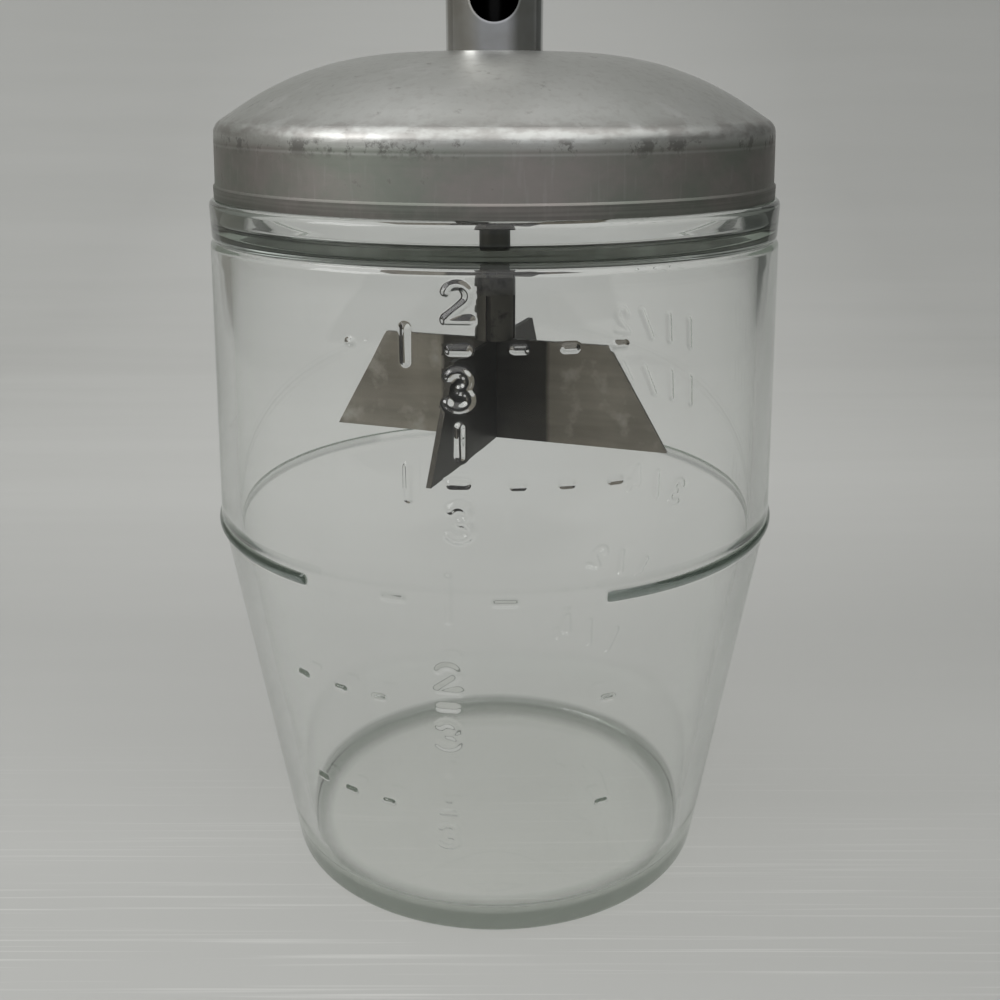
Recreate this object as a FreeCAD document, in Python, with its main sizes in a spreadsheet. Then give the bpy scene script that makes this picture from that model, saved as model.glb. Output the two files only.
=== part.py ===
# Push-down nut chopper: glass measuring jar, slip-on lid with a guide tube, and a sprung plunger with
# four blades. Millimetres, +Z up, origin at the centre of the jar's base, the jar's marked side at -Y.
import FreeCAD, Part
import Sketcher
import math
import os

doc = FreeCAD.newDocument("nut_chopper")

# Driving dimensions, each a cell of the sheet
DIMENSIONS = {
    # Jar, outside
    "push_up": 1.4,
    "rest_inner": 29.0,
    "rest_rise": 0.3,
    "rest_edge": 0.6,
    "heel_radius": 34.8,
    "heel_round": 1.8,
    "cone_top_radius": 43.45,
    "cone_top_height": 57.6,
    "body_radius": 43.8,
    "body_foot_height": 60.4,
    "body_top_radius": 42.45,
    "body_top_height": 101.2,
    "groove_depth": 0.45,
    "bead_radius": 42.3,
    "bead_foot": 102.4,
    "bead_top": 107.5,
    "bead_round": 0.9,
    "bead_draft": 0.1,
    "finish_radius": 39.9,
    "rim_height": 115.0,
    "rim_round": 1.2,
    # Jar, inside
    "glass_wall": 2.8,
    "glass_floor": 4.0,
    "floor_radius": 32.5,
    "floor_round": 1.2,
    "floor_dish": 0.5,
    "mouth_radius": 37.4,
    "mouth_round": 0.5,
    "mouth_foot": 104.2,
    "inner_shoulder": 102.3,
    # Cup line moulded round the shoulder, open at the front
    "ring_radius": 43.2,
    "ring_section": 1.0,
    "ring_height": 59.0,
    "ring_sweep": 304.0,
    "ring_start": 290.0,
    # Lid
    "lid_gauge": 0.9,
    "lid_edge": 107.6,
    "lid_edge_radius": 41.3,
    "crease_radius": 40.94,
    "crease_round": 2.2,
    "crease_height": 116.4,
    "hem_height": 1.7,
    "hem_step": 0.18,
    "hem_bevel": 0.3,
    "dome_flat": 10.0,
    "dome_mid_radius": 20.0,
    "dome_mid_slope": 9.5,
    "dome_low_radius": 37.0,
    "dome_low_slope": 32.5,
    # Guide tube and what is pressed into it
    "tube_radius": 7.05,
    "tube_wall": 0.9,
    "tube_mouth": 151.5,
    "tube_mouth_round": 0.45,
    "flare_radius": 9.0,
    "flare_gauge": 0.8,
    "flare_round": 0.5,
    "drain_radius": 3.5,
    "drain_height": 134.8,
    "backing_radius": 10.0,
    "backing_gauge": 0.75,
    "bushing_bore": 2.44,
    "lower_bushing_foot": 125.6,
    "lower_bushing_height": 3.0,
    "upper_bushing_foot": 139.2,
    "upper_bushing_height": 3.0,
    "seat_gauge": 0.8,
    "seat_radius": 6.0,
    "seat_clearance": 0.3,
    # Spring
    "wire": 0.9,
    "coil_radius": 5.2,
    "coil_turns": 14.5,
    "end_pitch": 1.4,
    "spring_length": 79.0,
    "spring_slack": 0.05,
    # Spring cup
    "cup_radius": 7.2,
    "cup_gauge": 0.8,
    "cup_depth": 3.2,
    "cup_round": 1.2,
    # Rod, its stop and its lower end
    "rod_radius": 2.38,
    "rod_foot": 93.1,
    "rod_top": 240.4,
    "rod_chamfer": 0.4,
    "groove_foot": 123.05,
    "groove_width": 0.9,
    "groove_radius": 1.9,
    "clip_radius": 4.8,
    "clip_gauge": 0.8,
    "clip_opening": 3.0,
    "clip_fit": 0.02,
    "clip_play": 0.05,
    "stop_foot": 124.0,
    "stop_gauge": 0.9,
    "stop_radius": 8.6,
    # Hub and blades
    "hub_radius": 3.2,
    "hub_height": 15.0,
    "hub_round": 0.5,
    "pin_radius": 0.75,
    "pin_height": 97.0,
    "blade_foot": 69.5,
    "blade_height": 16.0,
    "blade_foot_reach": 28.0,
    "blade_top_reach": 18.5,
    "blade_gauge": 0.8,
    "blade_fit": 0.02,
    "tongue_width": 5.6,
    "tongue_height": 7.0,
    "tongue_fit": 0.1,
    "blade_turn": 161.0,
    # Knob and its fixing
    "nut_gap": 0.1,
    "nut_flats": 8.0,
    "nut_height": 3.0,
    "knob_foot_radius": 8.4,
    "knob_foot_round": 0.6,
    "knob_foot_height": 3.0,
    "knob_neck_radius": 7.0,
    "knob_neck_height": 7.5,
    "knob_flare": 11.0,
    "knob_lean": 60.0,
    "knob_edge": 5.0,
    "insert_radius": 4.2,
    "insert_height": 14.8,
}

sheet = doc.addObject("Spreadsheet::Sheet", "Dims")


class Size:
    """A length or angle together with the sheet formula that gives it."""

    def __init__(self, value, formula):
        self.value = float(value)
        self.formula = formula

    def __add__(self, other):
        other = as_size(other)
        return Size(self.value + other.value, f"({self.formula} + {other.formula})")

    def __sub__(self, other):
        other = as_size(other)
        return Size(self.value - other.value, f"({self.formula} - {other.formula})")

    def __mul__(self, other):
        other = as_size(other)
        return Size(self.value * other.value, f"({self.formula} * {other.formula})")

    def __truediv__(self, other):
        other = as_size(other)
        return Size(self.value / other.value, f"({self.formula} / {other.formula})")

    def __neg__(self):
        return Size(-self.value, f"(0 - {self.formula})")


def as_size(number):
    return number if isinstance(number, Size) else Size(number, repr(number))


def sine(angle):
    return Size(math.sin(math.radians(angle.value)), f"sin({angle.formula} * 1 deg)")


def cosine(angle):
    return Size(math.cos(math.radians(angle.value)), f"cos({angle.formula} * 1 deg)")


dims = {}
for row, (word, number) in enumerate(DIMENSIONS.items(), start=1):
    sheet.set(f"A{row}", word)
    sheet.set(f"B{row}", str(number))
    sheet.setAlias(f"B{row}", word)
    dims[word] = Size(number, f"Dims.{word}")
doc.recompute()


def size(word):
    return dims[word]


def bind(item, prop, amount):
    """Sets a property and ties it to the sheet."""
    amount = as_size(amount)
    setattr(item, prop, amount.value)
    item.setExpression(prop, amount.formula)


def place(item, height=0, turn=0):
    """Stands a sub-part at its height, turned about the axis, each bound to the sheet."""
    height, turn = as_size(height), as_size(turn)
    item.Placement = FreeCAD.Placement(FreeCAD.Vector(0, 0, height.value),
                                       FreeCAD.Rotation(FreeCAD.Vector(0, 0, 1), turn.value))
    item.setExpression("Placement.Base.z", height.formula)
    if turn.value:
        item.setExpression("Placement.Rotation.Angle", f"{turn.formula} * 1 deg")


def arc_between(start, end, radius, turn):
    """The short arc from start to end; turn is +1 anticlockwise or -1 clockwise."""
    chord = end - start
    middle = (start + end) * 0.5
    rise = math.sqrt(max(radius ** 2 - (chord.Length / 2) ** 2, 0.0))
    left = FreeCAD.Vector(-chord.y, chord.x, 0).normalize()
    centre = middle + left * (rise * turn)
    angles = [math.atan2(p.y - centre.y, p.x - centre.x) for p in (start, end)]
    if turn < 0:
        angles.reverse()
    circle = Part.Circle(centre, FreeCAD.Vector(0, 0, 1), radius)
    return Part.ArcOfCircle(circle, angles[0], angles[1])


def pin_point(sketch, geometry, end, axis, amount):
    """Holds one coordinate of a sketch point at a distance from the origin."""
    amount = as_size(amount)
    if amount.value == 0:
        sketch.addConstraint(Sketcher.Constraint("PointOnObject", geometry, end, -2 if axis == "X" else -1))
        return
    number = sketch.addConstraint(Sketcher.Constraint("Distance" + axis, -1, 1, geometry, end, amount.value))
    sketch.setExpression(f"Constraints[{number}]", amount.formula)


def draw(sketch, outline):
    """Draws a closed outline. An entry is (across, up) for a line to that point, or
    (across, up, radius, turn) for an arc to it."""
    ends = []
    for number, entry in enumerate(outline):
        start, end = (FreeCAD.Vector(as_size(p[0]).value, as_size(p[1]).value, 0)
                      for p in (outline[number - 1], entry))
        if len(entry) == 2:
            sketch.addGeometry(Part.LineSegment(start, end), False)
            ends.append((1, 2))
        else:
            sketch.addGeometry(arc_between(start, end, as_size(entry[2]).value, entry[3]), False)
            ends.append((1, 2) if entry[3] > 0 else (2, 1))
    for number, entry in enumerate(outline):
        follower = (number + 1) % len(outline)
        sketch.addConstraint(Sketcher.Constraint("Coincident", number, ends[number][1], follower, ends[follower][0]))
        pin_point(sketch, number, ends[number][1], "X", entry[0])
        pin_point(sketch, number, ends[number][1], "Y", entry[1])
        if len(entry) == 4:
            radius = as_size(entry[2])
            held = sketch.addConstraint(Sketcher.Constraint("Radius", number, radius.value))
            sketch.setExpression(f"Constraints[{held}]", radius.formula)


def new_sketch(body, plane, name):
    sketch = body.newObject("Sketcher::SketchObject", name)
    origin = next(item for item in body.Origin.OriginFeatures if item.Role == plane)
    sketch.AttachmentSupport = [(origin, "")]
    sketch.MapMode = "FlatFace"
    return sketch


def turned(name, outline):
    """A body turned on the axis from its half section."""
    body = doc.addObject("PartDesign::Body", name)
    sketch = new_sketch(body, "XZ_Plane", name + "_section")
    draw(sketch, outline)
    turning = body.newObject("PartDesign::Revolution", name + "_turned")
    turning.Profile = sketch
    turning.ReferenceAxis = (sketch, ["V_Axis"])
    turning.Angle = 360
    return body


def ring_of(name, bore, radius, height):
    """A washer or plain bush, standing on its own base."""
    return turned(name, [(bore, 0), (radius, 0), (radius, height), (bore, height)])


def padded(name, plane, outline, length, symmetric):
    """A body padded from a flat outline."""
    body = doc.addObject("PartDesign::Body", name)
    sketch = new_sketch(body, plane, name + "_outline")
    draw(sketch, outline)
    pad = body.newObject("PartDesign::Pad", name + "_pad")
    pad.Profile = sketch
    bind(pad, "Length", length)
    pad.SideType = "Symmetric" if symmetric else "One side"
    return body


def cut_through(body, plane, name, outline):
    """Cuts an outline right through a body, both ways from the plane."""
    sketch = new_sketch(body, plane, name + "_outline")
    draw(sketch, outline)
    pocket(body, sketch, name)


def drill(body, plane, name, across, height, radius, front_only=False):
    """Drills a round hole through a body, both ways from the plane or only through its front."""
    sketch = new_sketch(body, plane, name + "_circle")
    centre = FreeCAD.Vector(as_size(across).value, as_size(height).value, 0)
    sketch.addGeometry(Part.Circle(centre, FreeCAD.Vector(0, 0, 1), as_size(radius).value), False)
    pin_point(sketch, 0, 3, "X", across)
    pin_point(sketch, 0, 3, "Y", height)
    held = sketch.addConstraint(Sketcher.Constraint("Radius", 0, as_size(radius).value))
    sketch.setExpression(f"Constraints[{held}]", as_size(radius).formula)
    pocket(body, sketch, name, front_only)


def pocket(body, sketch, name, front_only=False):
    doc.recompute()
    before = body.Shape.Volume
    hole = body.newObject("PartDesign::Pocket", name)
    hole.Profile = sketch
    hole.SideType = "One side" if front_only else "Symmetric"
    hole.Type = "ThroughAll"
    hole.Reversed = front_only
    doc.recompute()
    if before - body.Shape.Volume < 0.05:
        raise RuntimeError(f"{name} cuts nothing from {body.Label}")


def cylinder(name, radius, height, foot=0):
    item = doc.addObject("Part::Cylinder", name)
    bind(item, "Radius", radius)
    bind(item, "Height", height)
    place(item, foot)
    return item


def joined(kind, name, base, tool):
    item = doc.addObject(kind, name)
    item.Base = base
    item.Tool = tool
    return item


def make_jar():
    """The jar's section, outside from the base up to the rim and inside down again, and its cup line."""
    wall, lip = size("glass_wall"), size("mouth_round")
    groove_radius = size("body_top_radius") - size("groove_depth")
    groove_height = (size("body_top_height") + size("bead_foot")) / 2
    corner = size("bead_round")
    floor_radius, floor_top = size("floor_radius"), size("glass_floor") + size("floor_round")
    blank = turned("jar_blank", [
        (0, size("push_up")),
        (size("rest_inner"), size("rest_rise")),
        (size("rest_inner") + size("rest_edge"), 0),
        (size("heel_radius") - size("heel_round"), 0),
        (size("heel_radius"), size("heel_round"), size("heel_round"), 1),
        (size("cone_top_radius"), size("cone_top_height")),
        (size("body_radius"), size("body_foot_height")),
        (size("body_top_radius"), size("body_top_height")),
        (groove_radius, groove_height),
        (size("bead_radius") - size("bead_draft"), size("bead_foot")),
        (size("bead_radius"), size("bead_foot") + corner),
        (size("bead_radius"), size("bead_top") - corner),
        (size("bead_radius") - corner, size("bead_top"), corner, 1),
        (size("finish_radius"), size("bead_top")),
        (size("finish_radius"), size("rim_height") - size("rim_round")),
        (size("finish_radius") - size("rim_round"), size("rim_height"), size("rim_round"), 1),
        (size("mouth_radius") + lip, size("rim_height")),
        (size("mouth_radius"), size("rim_height") - lip, lip, 1),
        (size("mouth_radius"), size("mouth_foot")),
        (size("body_top_radius") - wall, size("inner_shoulder")),
        (size("body_radius") - wall, size("body_foot_height")),
        (size("cone_top_radius") - wall, size("cone_top_height")),
        (floor_radius, floor_top),
        (floor_radius - size("floor_round"), size("glass_floor"), size("floor_round"), -1),
        (0, size("glass_floor") + size("floor_dish")),
    ])
    ring = doc.addObject("Part::Torus", "cup_line")
    bind(ring, "Radius1", size("ring_radius"))
    bind(ring, "Radius2", size("ring_section"))
    bind(ring, "Angle3", size("ring_sweep"))
    place(ring, size("ring_height"), size("ring_start"))
    return joined("Part::Fuse", "glass_jar", blank, ring)


def make_lid():
    gauge = size("lid_gauge")
    low_slope, mid_slope = size("dome_low_slope"), size("dome_mid_slope")
    # Outer line, from the crease inwards: crease arc, straight slope, two arcs, flat top
    crease = size("crease_round")
    slope_end_radius = size("crease_radius") - crease * (Size(1, "1") - sine(low_slope))
    slope_end_height = size("crease_height") + crease * cosine(low_slope)
    tangent = sine(low_slope) / cosine(low_slope)
    low_height = slope_end_height + (slope_end_radius - size("dome_low_radius")) * tangent
    low_round = (size("dome_low_radius") - size("dome_mid_radius")) / (sine(low_slope) - sine(mid_slope))
    mid_height = low_height + low_round * (cosine(mid_slope) - cosine(low_slope))
    top_round = (size("dome_mid_radius") - size("dome_flat")) / sine(mid_slope)
    top_height = mid_height + top_round * (Size(1, "1") - cosine(mid_slope))

    def inside(radius, height, slope):
        """The point of the inner face under an outer one, where the skin slopes by an angle."""
        return radius - gauge * sine(slope), height - gauge * cosine(slope)

    hole = size("tube_radius")
    hem_top = size("hem_height") + size("hem_bevel")
    taper = (size("lid_edge_radius") - size("crease_radius")) / (size("crease_height") - size("lid_edge"))
    lid = turned("lid_shell", [
        (hole, top_height - gauge),
        (size("dome_flat"), top_height - gauge),
        (*inside(size("dome_mid_radius"), mid_height, mid_slope), top_round - gauge, -1),
        (*inside(size("dome_low_radius"), low_height, low_slope), low_round - gauge, -1),
        inside(slope_end_radius, slope_end_height, low_slope),
        (size("crease_radius") - gauge, size("crease_height"), crease - gauge, -1),
        (size("lid_edge_radius") - gauge, size("lid_edge")),
        (size("lid_edge_radius") + size("hem_step"), size("lid_edge")),
        (size("lid_edge_radius") + size("hem_step"), size("lid_edge") + size("hem_height")),
        (size("lid_edge_radius") - taper * hem_top, size("lid_edge") + hem_top),
        (size("crease_radius"), size("crease_height")),
        (slope_end_radius, slope_end_height, crease, 1),
        (size("dome_low_radius"), low_height),
        (size("dome_mid_radius"), mid_height, low_round, 1),
        (size("dome_flat"), top_height, top_round, 1),
        (hole, top_height),
    ])
    return lid, top_height


def make_tube(top_height):
    """The tube, its flared foot under the lid, the plate between them, and the two bushings."""
    under_lid = top_height - size("lid_gauge")
    plate_foot = under_lid - size("backing_gauge")
    flare_foot = plate_foot - size("flare_gauge")
    radius, inner = size("tube_radius"), size("tube_radius") - size("tube_wall")
    mouth, edge, bend = size("tube_mouth"), size("tube_mouth_round"), size("flare_round")
    tube = turned("guide_tube", [
        (inner, flare_foot + bend),
        (inner + bend, flare_foot, bend, -1),
        (size("flare_radius"), flare_foot),
        (size("flare_radius"), plate_foot),
        (radius, plate_foot),
        (radius, mouth - edge),
        (radius - edge, mouth, edge, 1),
        (inner, mouth - edge, edge, 1),
    ])
    drill(tube, "XZ_Plane", "drain_hole", 0, size("drain_height"), size("drain_radius"), front_only=True)
    plate = ring_of("backing_washer", radius, size("backing_radius"), size("backing_gauge"))
    place(plate, plate_foot)
    for end in ("lower", "upper"):
        bushing = ring_of(end + "_bushing", size("bushing_bore"), inner, size(end + "_bushing_height"))
        place(bushing, size(end + "_bushing_foot"))
    seat = ring_of("spring_seat", size("bushing_bore") + size("seat_clearance"), size("seat_radius"), size("seat_gauge"))
    place(seat, size("upper_bushing_foot") + size("upper_bushing_height"))
    return size("upper_bushing_foot") + size("upper_bushing_height") + size("seat_gauge")


def coil_height(turns_done):
    """Height of the wire's centre after some turns: close end turns, open ones between."""
    turns, close = size("coil_turns").value, size("end_pitch").value
    travel = size("spring_length").value - size("wire").value - 2 * size("spring_slack").value
    close_turns = 3
    open_pitch = (travel - close_turns * close) / (turns - close_turns)

    def climb(along):
        """From one end: a close turn, a turn that opens, then open turns."""
        if along <= 1:
            return close * along
        if along <= 2:
            part = along - 1
            return close * along + (open_pitch - close) * (part ** 3 - part ** 4 / 2)
        return close * 2 + (open_pitch - close) / 2 + open_pitch * (along - 2)

    if turns_done <= turns / 2:
        return climb(turns_done)
    return travel - climb(turns - turns_done)


def coil_point(turns_done):
    angle = 2 * math.pi * turns_done
    radius = size("coil_radius").value
    start = size("wire").value / 2 + size("spring_slack").value
    return FreeCAD.Vector(radius * math.cos(angle), radius * math.sin(angle), start + coil_height(turns_done))


def coil_direction(turns_done):
    step = 1e-4
    low, high = max(turns_done - step, 0), min(turns_done + step, size("coil_turns").value)
    angle = 2 * math.pi * turns_done
    slope = (coil_height(high) - coil_height(low)) / (high - low) / (2 * math.pi * size("coil_radius").value)
    return FreeCAD.Vector(-math.sin(angle), math.cos(angle), slope).normalize()


def tangent_arc(start, direction, end):
    """The arc that leaves start along a direction and reaches end."""
    chord = end - start
    aside = chord - direction * chord.dot(direction)
    radius = chord.dot(chord) / (2 * aside.Length)
    centre = start + aside.normalize() * radius
    middle = centre + ((start - centre) + (end - centre)).normalize() * radius
    return Part.Arc(start, middle, end).toShape()


def make_spring(foot):
    """The wire as one tube along pairs of arcs, a quarter turn each."""
    turns = size("coil_turns").value
    stations = [number / 2 for number in range(int(turns * 2) + 1)]
    edges = []
    for low, high in zip(stations, stations[1:]):
        start, end = coil_point(low), coil_point(high)
        leave, arrive = coil_direction(low), coil_direction(high)
        span, both = end - start, leave + arrive
        blend = 1 - leave.dot(arrive)
        root = math.sqrt(span.dot(both) ** 2 + 2 * blend * span.dot(span))
        reach = (root - span.dot(both)) / (2 * blend)
        meeting = (start + leave * reach + end - arrive * reach) * 0.5
        edges.append(tangent_arc(start, leave, meeting))
        edges.append(tangent_arc(end, arrive * -1, meeting))
    path = Part.Wire(Part.__sortEdges__(edges))
    wire_radius = size("wire").value / 2
    section = Part.Wire(Part.Circle(coil_point(0), coil_direction(0), wire_radius).toShape())
    tube = path.makePipeShell([section], True, False)
    spring = doc.addObject("Part::Feature", "return_spring")
    spring.Shape = Part.Solid(tube) if tube.ShapeType == "Shell" else tube
    place(spring, foot)
    steps = 80
    samples = [coil_point(number / steps) for number in range(int(turns * steps) + 1)]
    gap = min((point - other).Length for number, point in enumerate(samples)
              for other in samples[number + steps // 2:number + 2 * steps])
    print(f"return_spring: {turns} turns, least gap {gap - 2 * wire_radius:.2f} mm, volume"
          f" {spring.Shape.Volume:.1f} of {math.pi * wire_radius ** 2 * path.Length:.1f} mm3")
    return spring


def make_rod():
    radius, groove = size("rod_radius"), size("groove_radius")
    foot, top, edge = size("rod_foot"), size("rod_top"), size("rod_chamfer")
    groove_foot, groove_top = size("groove_foot"), size("groove_foot") + size("groove_width")
    rod = turned("plunger_rod", [
        (0, foot),
        (radius - edge, foot),
        (radius, foot + edge),
        (radius, groove_foot),
        (groove, groove_foot),
        (groove, groove_top),
        (radius, groove_top),
        (radius, top - edge),
        (radius - edge, top),
        (0, top),
    ])
    drill(rod, "YZ_Plane", "rod_pin_hole", 0, size("pin_height"), size("pin_radius"))
    return rod


def make_stop():
    """The E-clip in the rod's groove and the loose washer that it carries."""
    ring = cylinder("clip_disc", size("clip_radius"), size("clip_gauge"))
    bore = cylinder("clip_bore", size("groove_radius") + size("clip_fit"), size("clip_gauge"))
    opening = doc.addObject("Part::Box", "clip_opening")
    bind(opening, "Length", size("clip_radius") * 2)
    bind(opening, "Width", size("clip_opening"))
    bind(opening, "Height", size("clip_gauge"))
    opening.setExpression("Placement.Base.y", "0 - Dims.clip_opening / 2")
    closed = joined("Part::Cut", "clip_ring", ring, bore)
    clip = joined("Part::Cut", "stop_clip", closed, opening)
    place(clip, size("groove_foot") + size("clip_play"))
    washer = ring_of("stop_washer", size("bushing_bore"), size("stop_radius"), size("stop_gauge"))
    place(washer, size("stop_foot"))


def make_blades():
    """Two plates slotted halfway into each other, their tongues in the hub's cross slots."""
    height, reach, top = size("blade_height"), size("blade_foot_reach"), size("blade_top_reach")
    tongue, tip = size("tongue_width") / 2, size("blade_height") + size("tongue_height")
    slot = size("blade_gauge") / 2 + size("blade_fit")
    middle = height / 2
    left_side = [(-tongue, tip), (-tongue, height), (-top, height), (-reach, 0)]
    right_side = [(reach, 0), (top, height), (tongue, height), (tongue, tip)]
    wide = padded("wide_blade", "XZ_Plane", left_side + [(-slot, 0), (-slot, middle), (slot, middle), (slot, 0)]
                  + right_side, size("blade_gauge"), True)
    place(wide, size("blade_foot"), size("blade_turn"))
    cross = padded("cross_blade", "XZ_Plane", left_side + right_side
                   + [(slot, tip), (slot, middle), (-slot, middle), (-slot, tip)], size("blade_gauge"), True)
    place(cross, size("blade_foot"), size("blade_turn") - 90)
    radius, total, edge = size("hub_radius"), size("hub_height"), size("hub_round")
    hub_foot = size("blade_foot") + size("blade_height")
    bore_foot = size("rod_foot") - hub_foot
    slot_top = size("tongue_height") + size("tongue_fit")
    hub = turned("blade_hub", [
        (0, 0), (radius, 0), (radius, total - edge), (radius - edge, total, edge, 1),
        (size("rod_radius"), total), (size("rod_radius"), bore_foot), (0, bore_foot),
    ])
    for plane in ("XZ_Plane", "YZ_Plane"):
        cut_through(hub, plane, "slot_" + plane[:2].lower(), [
            (-slot, -edge), (slot, -edge), (slot, slot_top), (-slot, slot_top)])
    place(hub, hub_foot, size("blade_turn"))
    return hub


def crosswise(name, reach):
    """A cylinder of the pin's size lying along X, as far as reach on both sides of the axis."""
    item = doc.addObject("Part::Cylinder", name)
    bind(item, "Radius", size("pin_radius"))
    bind(item, "Height", reach * 2)
    item.Placement = FreeCAD.Placement(FreeCAD.Vector(-reach.value, 0, size("pin_height").value),
                                       FreeCAD.Rotation(FreeCAD.Vector(0, 1, 0), 90))
    item.setExpression("Placement.Base.x", (-reach).formula)
    item.setExpression("Placement.Base.z", size("pin_height").formula)
    return item


def make_pin(hub):
    """The cross pin of hub and rod, and its hole in the hub above the slots."""
    crosswise("hub_pin", size("hub_radius"))
    hub.Label = "hub_blank"
    drilled = joined("Part::Cut", "drilled_hub", hub, crosswise("hub_pin_drill", size("hub_radius") * 2))
    drilled.Label = "blade_hub"


def make_knob(cup_top):
    """The stamped cup on the spring, the lock nut, and the turned knob with its insert."""
    radius, gauge, depth, bend = size("cup_radius"), size("cup_gauge"), size("cup_depth"), size("cup_round")
    cup = turned("spring_cup", [
        (size("bushing_bore"), -gauge),
        (radius - bend, -gauge),
        (radius - gauge, -bend, bend - gauge, -1),
        (radius - gauge, -depth),
        (radius, -depth),
        (radius, -bend),
        (radius - bend, 0, bend, 1),
        (size("bushing_bore"), 0),
    ])
    place(cup, cup_top)
    nut_foot = cup_top + size("nut_gap")
    flat = size("nut_flats") / 2
    corner = size("nut_flats") / math.sqrt(3)
    nut = padded("lock_nut", "XY_Plane", [
        (corner, 0), (corner / 2, flat), (-corner / 2, flat), (-corner, 0), (-corner / 2, -flat), (corner / 2, -flat),
    ], size("nut_height"), False)
    drill(nut, "XY_Plane", "nut_bore", 0, 0, size("rod_radius"))
    place(nut, nut_foot)
    foot = nut_foot + size("nut_height")
    # Knob outline: foot, hollow neck, flare, rounded edge, and a crown centred on the axis
    lean, flare, rounding = size("knob_lean"), size("knob_flare"), size("knob_edge")
    neck, neck_height = size("knob_neck_radius"), size("knob_neck_height")
    inset, fall = size("knob_foot_radius") - neck, neck_height - size("knob_foot_height")
    rim_radius = neck + flare * (Size(1, "1") - cosine(lean))
    rim_height = neck_height + flare * sine(lean)
    crown_foot = rim_height + rounding * sine(lean) * 2
    crown = rim_radius / cosine(lean)
    crown_top = crown_foot + crown - crown * sine(lean)
    knob = turned("knob", [
        (size("insert_radius"), 0),
        (size("knob_foot_radius") - size("knob_foot_round"), 0),
        (size("knob_foot_radius"), size("knob_foot_round"), size("knob_foot_round"), 1),
        (size("knob_foot_radius"), size("knob_foot_height")),
        (neck, neck_height, (inset * inset + fall * fall) / (inset * 2), -1),
        (rim_radius, rim_height, flare, -1),
        (rim_radius, crown_foot, rounding, 1),
        (0, crown_top, crown, 1),
        (0, size("insert_height")),
        (size("insert_radius"), size("insert_height")),
    ])
    place(knob, foot)
    insert = ring_of("knob_insert", size("rod_radius"), size("insert_radius"), size("insert_height"))
    place(insert, foot)


SUB_PARTS = ("glass_jar", "lid_shell", "guide_tube", "backing_washer", "lower_bushing", "upper_bushing",
             "spring_seat", "return_spring", "spring_cup", "stop_washer", "stop_clip", "plunger_rod",
             "blade_hub", "hub_pin", "wide_blade", "cross_blade", "lock_nut", "knob_insert", "knob")

make_jar()
lid_body, lid_top = make_lid()
seat_top = make_tube(lid_top)
make_spring(seat_top)
make_rod()
make_stop()
make_pin(make_blades())
make_knob(seat_top + size("spring_length") + size("cup_gauge"))
doc.recompute()

# Every object sound, every sub-part a valid solid, before anything is written
for item in doc.Objects:
    if {"Invalid", "Error"} & set(item.State):
        raise RuntimeError(f"{item.Name} failed: {item.State}")
os.makedirs("parts", exist_ok=True)
for label in SUB_PARTS:
    found = doc.getObjectsByLabel(label)
    if len(found) != 1:
        raise RuntimeError(f"{label}: {len(found)} objects with this label")
    shape = found[0].Shape
    if shape.isNull() or not shape.isValid() or not shape.Solids:
        raise RuntimeError(f"{label} has no valid solid")
for label in SUB_PARTS:
    shape = doc.getObjectsByLabel(label)[0].Shape
    shape.exportStep(f"parts/{label}.step")
    box = shape.BoundBox
    print(f"{label}: {len(shape.Solids)} solid, {shape.Volume / 1000:.3f} cm3, z {box.ZMin:.2f} to {box.ZMax:.2f},"
          f" x {box.XMin:.2f} to {box.XMax:.2f}")
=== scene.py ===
import math

import bpy
import numpy as np
from mathutils import Matrix, Vector


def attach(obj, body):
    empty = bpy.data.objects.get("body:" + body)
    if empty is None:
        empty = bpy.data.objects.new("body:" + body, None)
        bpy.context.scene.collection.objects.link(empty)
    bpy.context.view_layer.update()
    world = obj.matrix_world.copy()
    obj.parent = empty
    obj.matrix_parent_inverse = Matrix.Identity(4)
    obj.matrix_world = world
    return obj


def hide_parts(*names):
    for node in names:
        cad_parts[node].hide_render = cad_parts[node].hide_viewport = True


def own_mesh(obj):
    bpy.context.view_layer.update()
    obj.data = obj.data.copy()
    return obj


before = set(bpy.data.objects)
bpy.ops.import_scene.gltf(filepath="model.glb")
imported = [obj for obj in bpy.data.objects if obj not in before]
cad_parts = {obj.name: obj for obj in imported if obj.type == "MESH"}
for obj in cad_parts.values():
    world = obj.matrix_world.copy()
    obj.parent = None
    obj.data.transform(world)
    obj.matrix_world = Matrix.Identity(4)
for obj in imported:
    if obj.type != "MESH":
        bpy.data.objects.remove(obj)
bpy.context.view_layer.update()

# Push-down nut chopper: pressed glass jar, spun aluminium lid, sprung plunger with four blades
mm = 0.001
weld = 0.002 * mm  # vertices closer than this are one


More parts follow.
